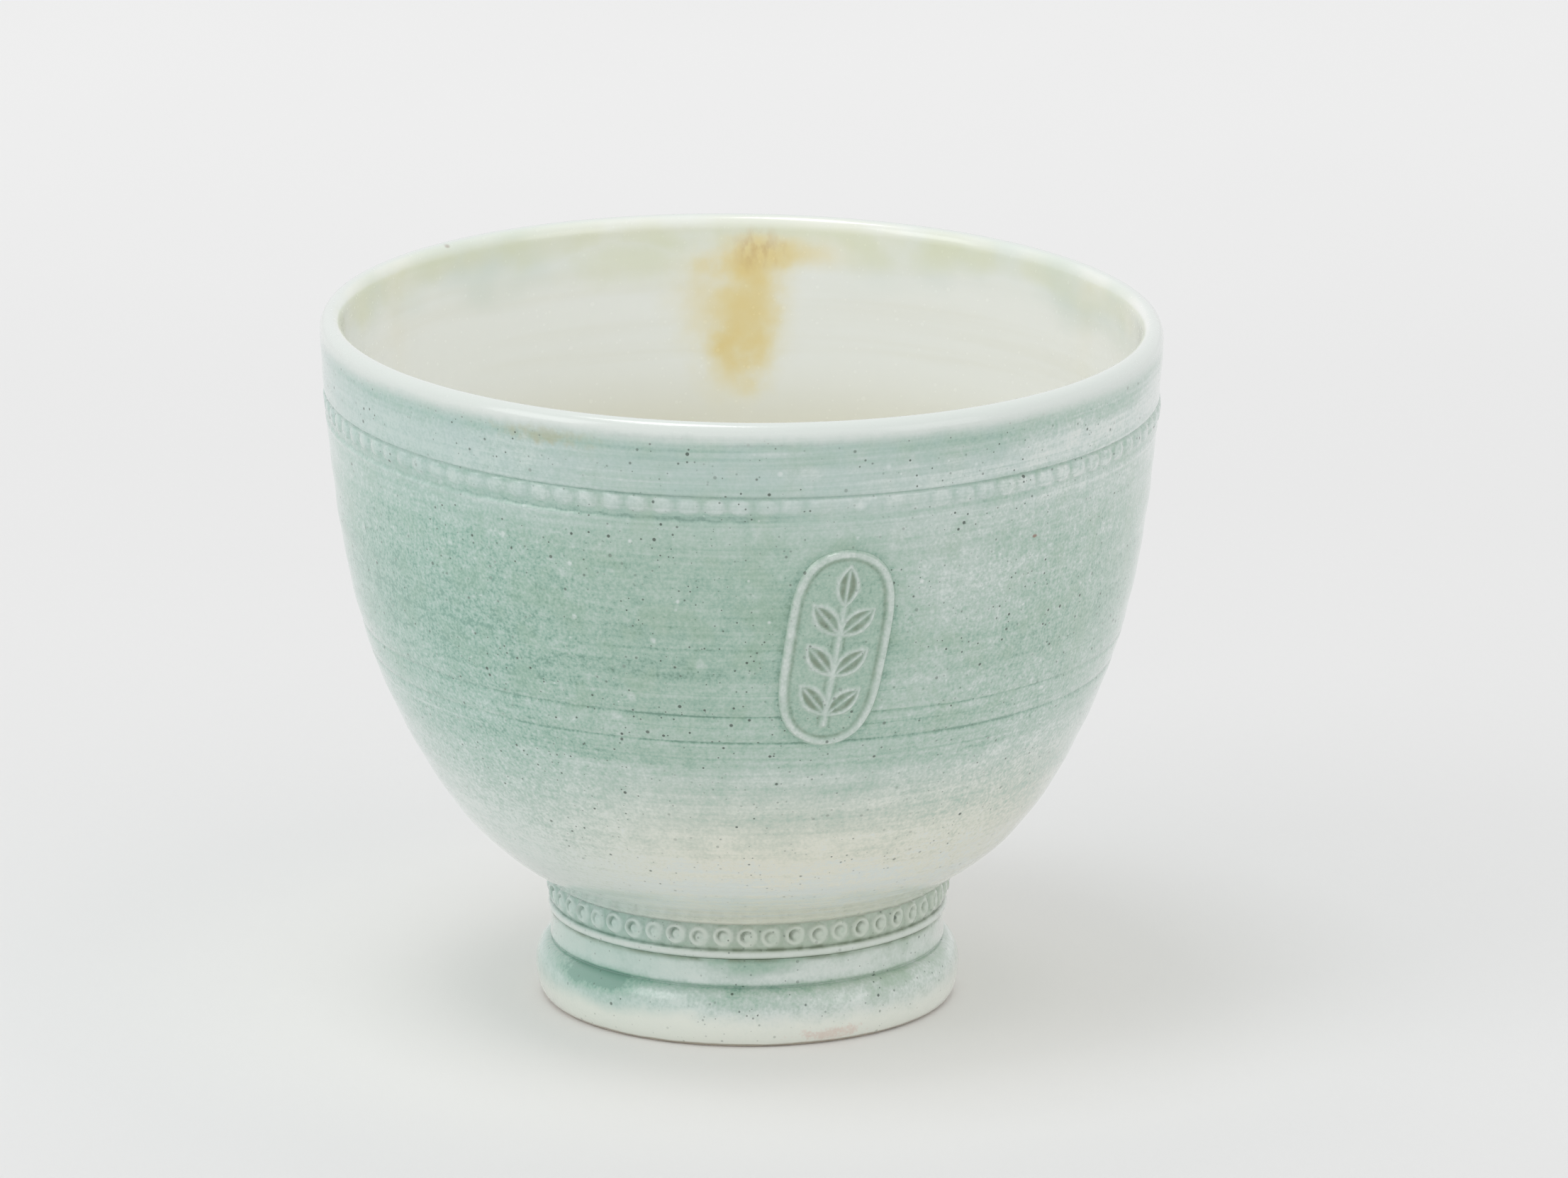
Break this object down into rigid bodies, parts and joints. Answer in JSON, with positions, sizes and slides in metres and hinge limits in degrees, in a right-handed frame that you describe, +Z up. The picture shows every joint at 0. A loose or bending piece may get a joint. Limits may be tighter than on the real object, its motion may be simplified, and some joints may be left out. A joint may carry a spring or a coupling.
{
  "type": "porcelain cup",
  "caption": "Footed porcelain cup without a handle: flaring glazed bowl with turned lines, beaded collar, low hollow foot and an applied oval seal.",
  "frame": {"origin": "middle of the plane that the cup stands on", "axes": "+Z up along the axis of the bowl and foot, -Y towards the front, where the seal is"},
  "size_m": [0.1, 0.1, 0.083],
  "materials": {
    "bowl_glaze": "pale blue-green celadon glaze, glossy, with iron specks",
    "foot_glaze": "thin pale celadon glaze, cream towards the base",
    "collar_glaze": "celadon glaze pooled between the beads",
    "bare_slip": "unglazed fired slip, matte",
    "seal_glaze": "thin celadon glaze, white on the raised border, green in the hollows"
  },
  "bodies": {
    "root": {"bowl": "bowl_glaze", "foot_ring": "foot_glaze", "beaded_collar": "collar_glaze", "luting_slip": "bare_slip", "oval_seal": "seal_glaze"}
  },
  "joints": []
}
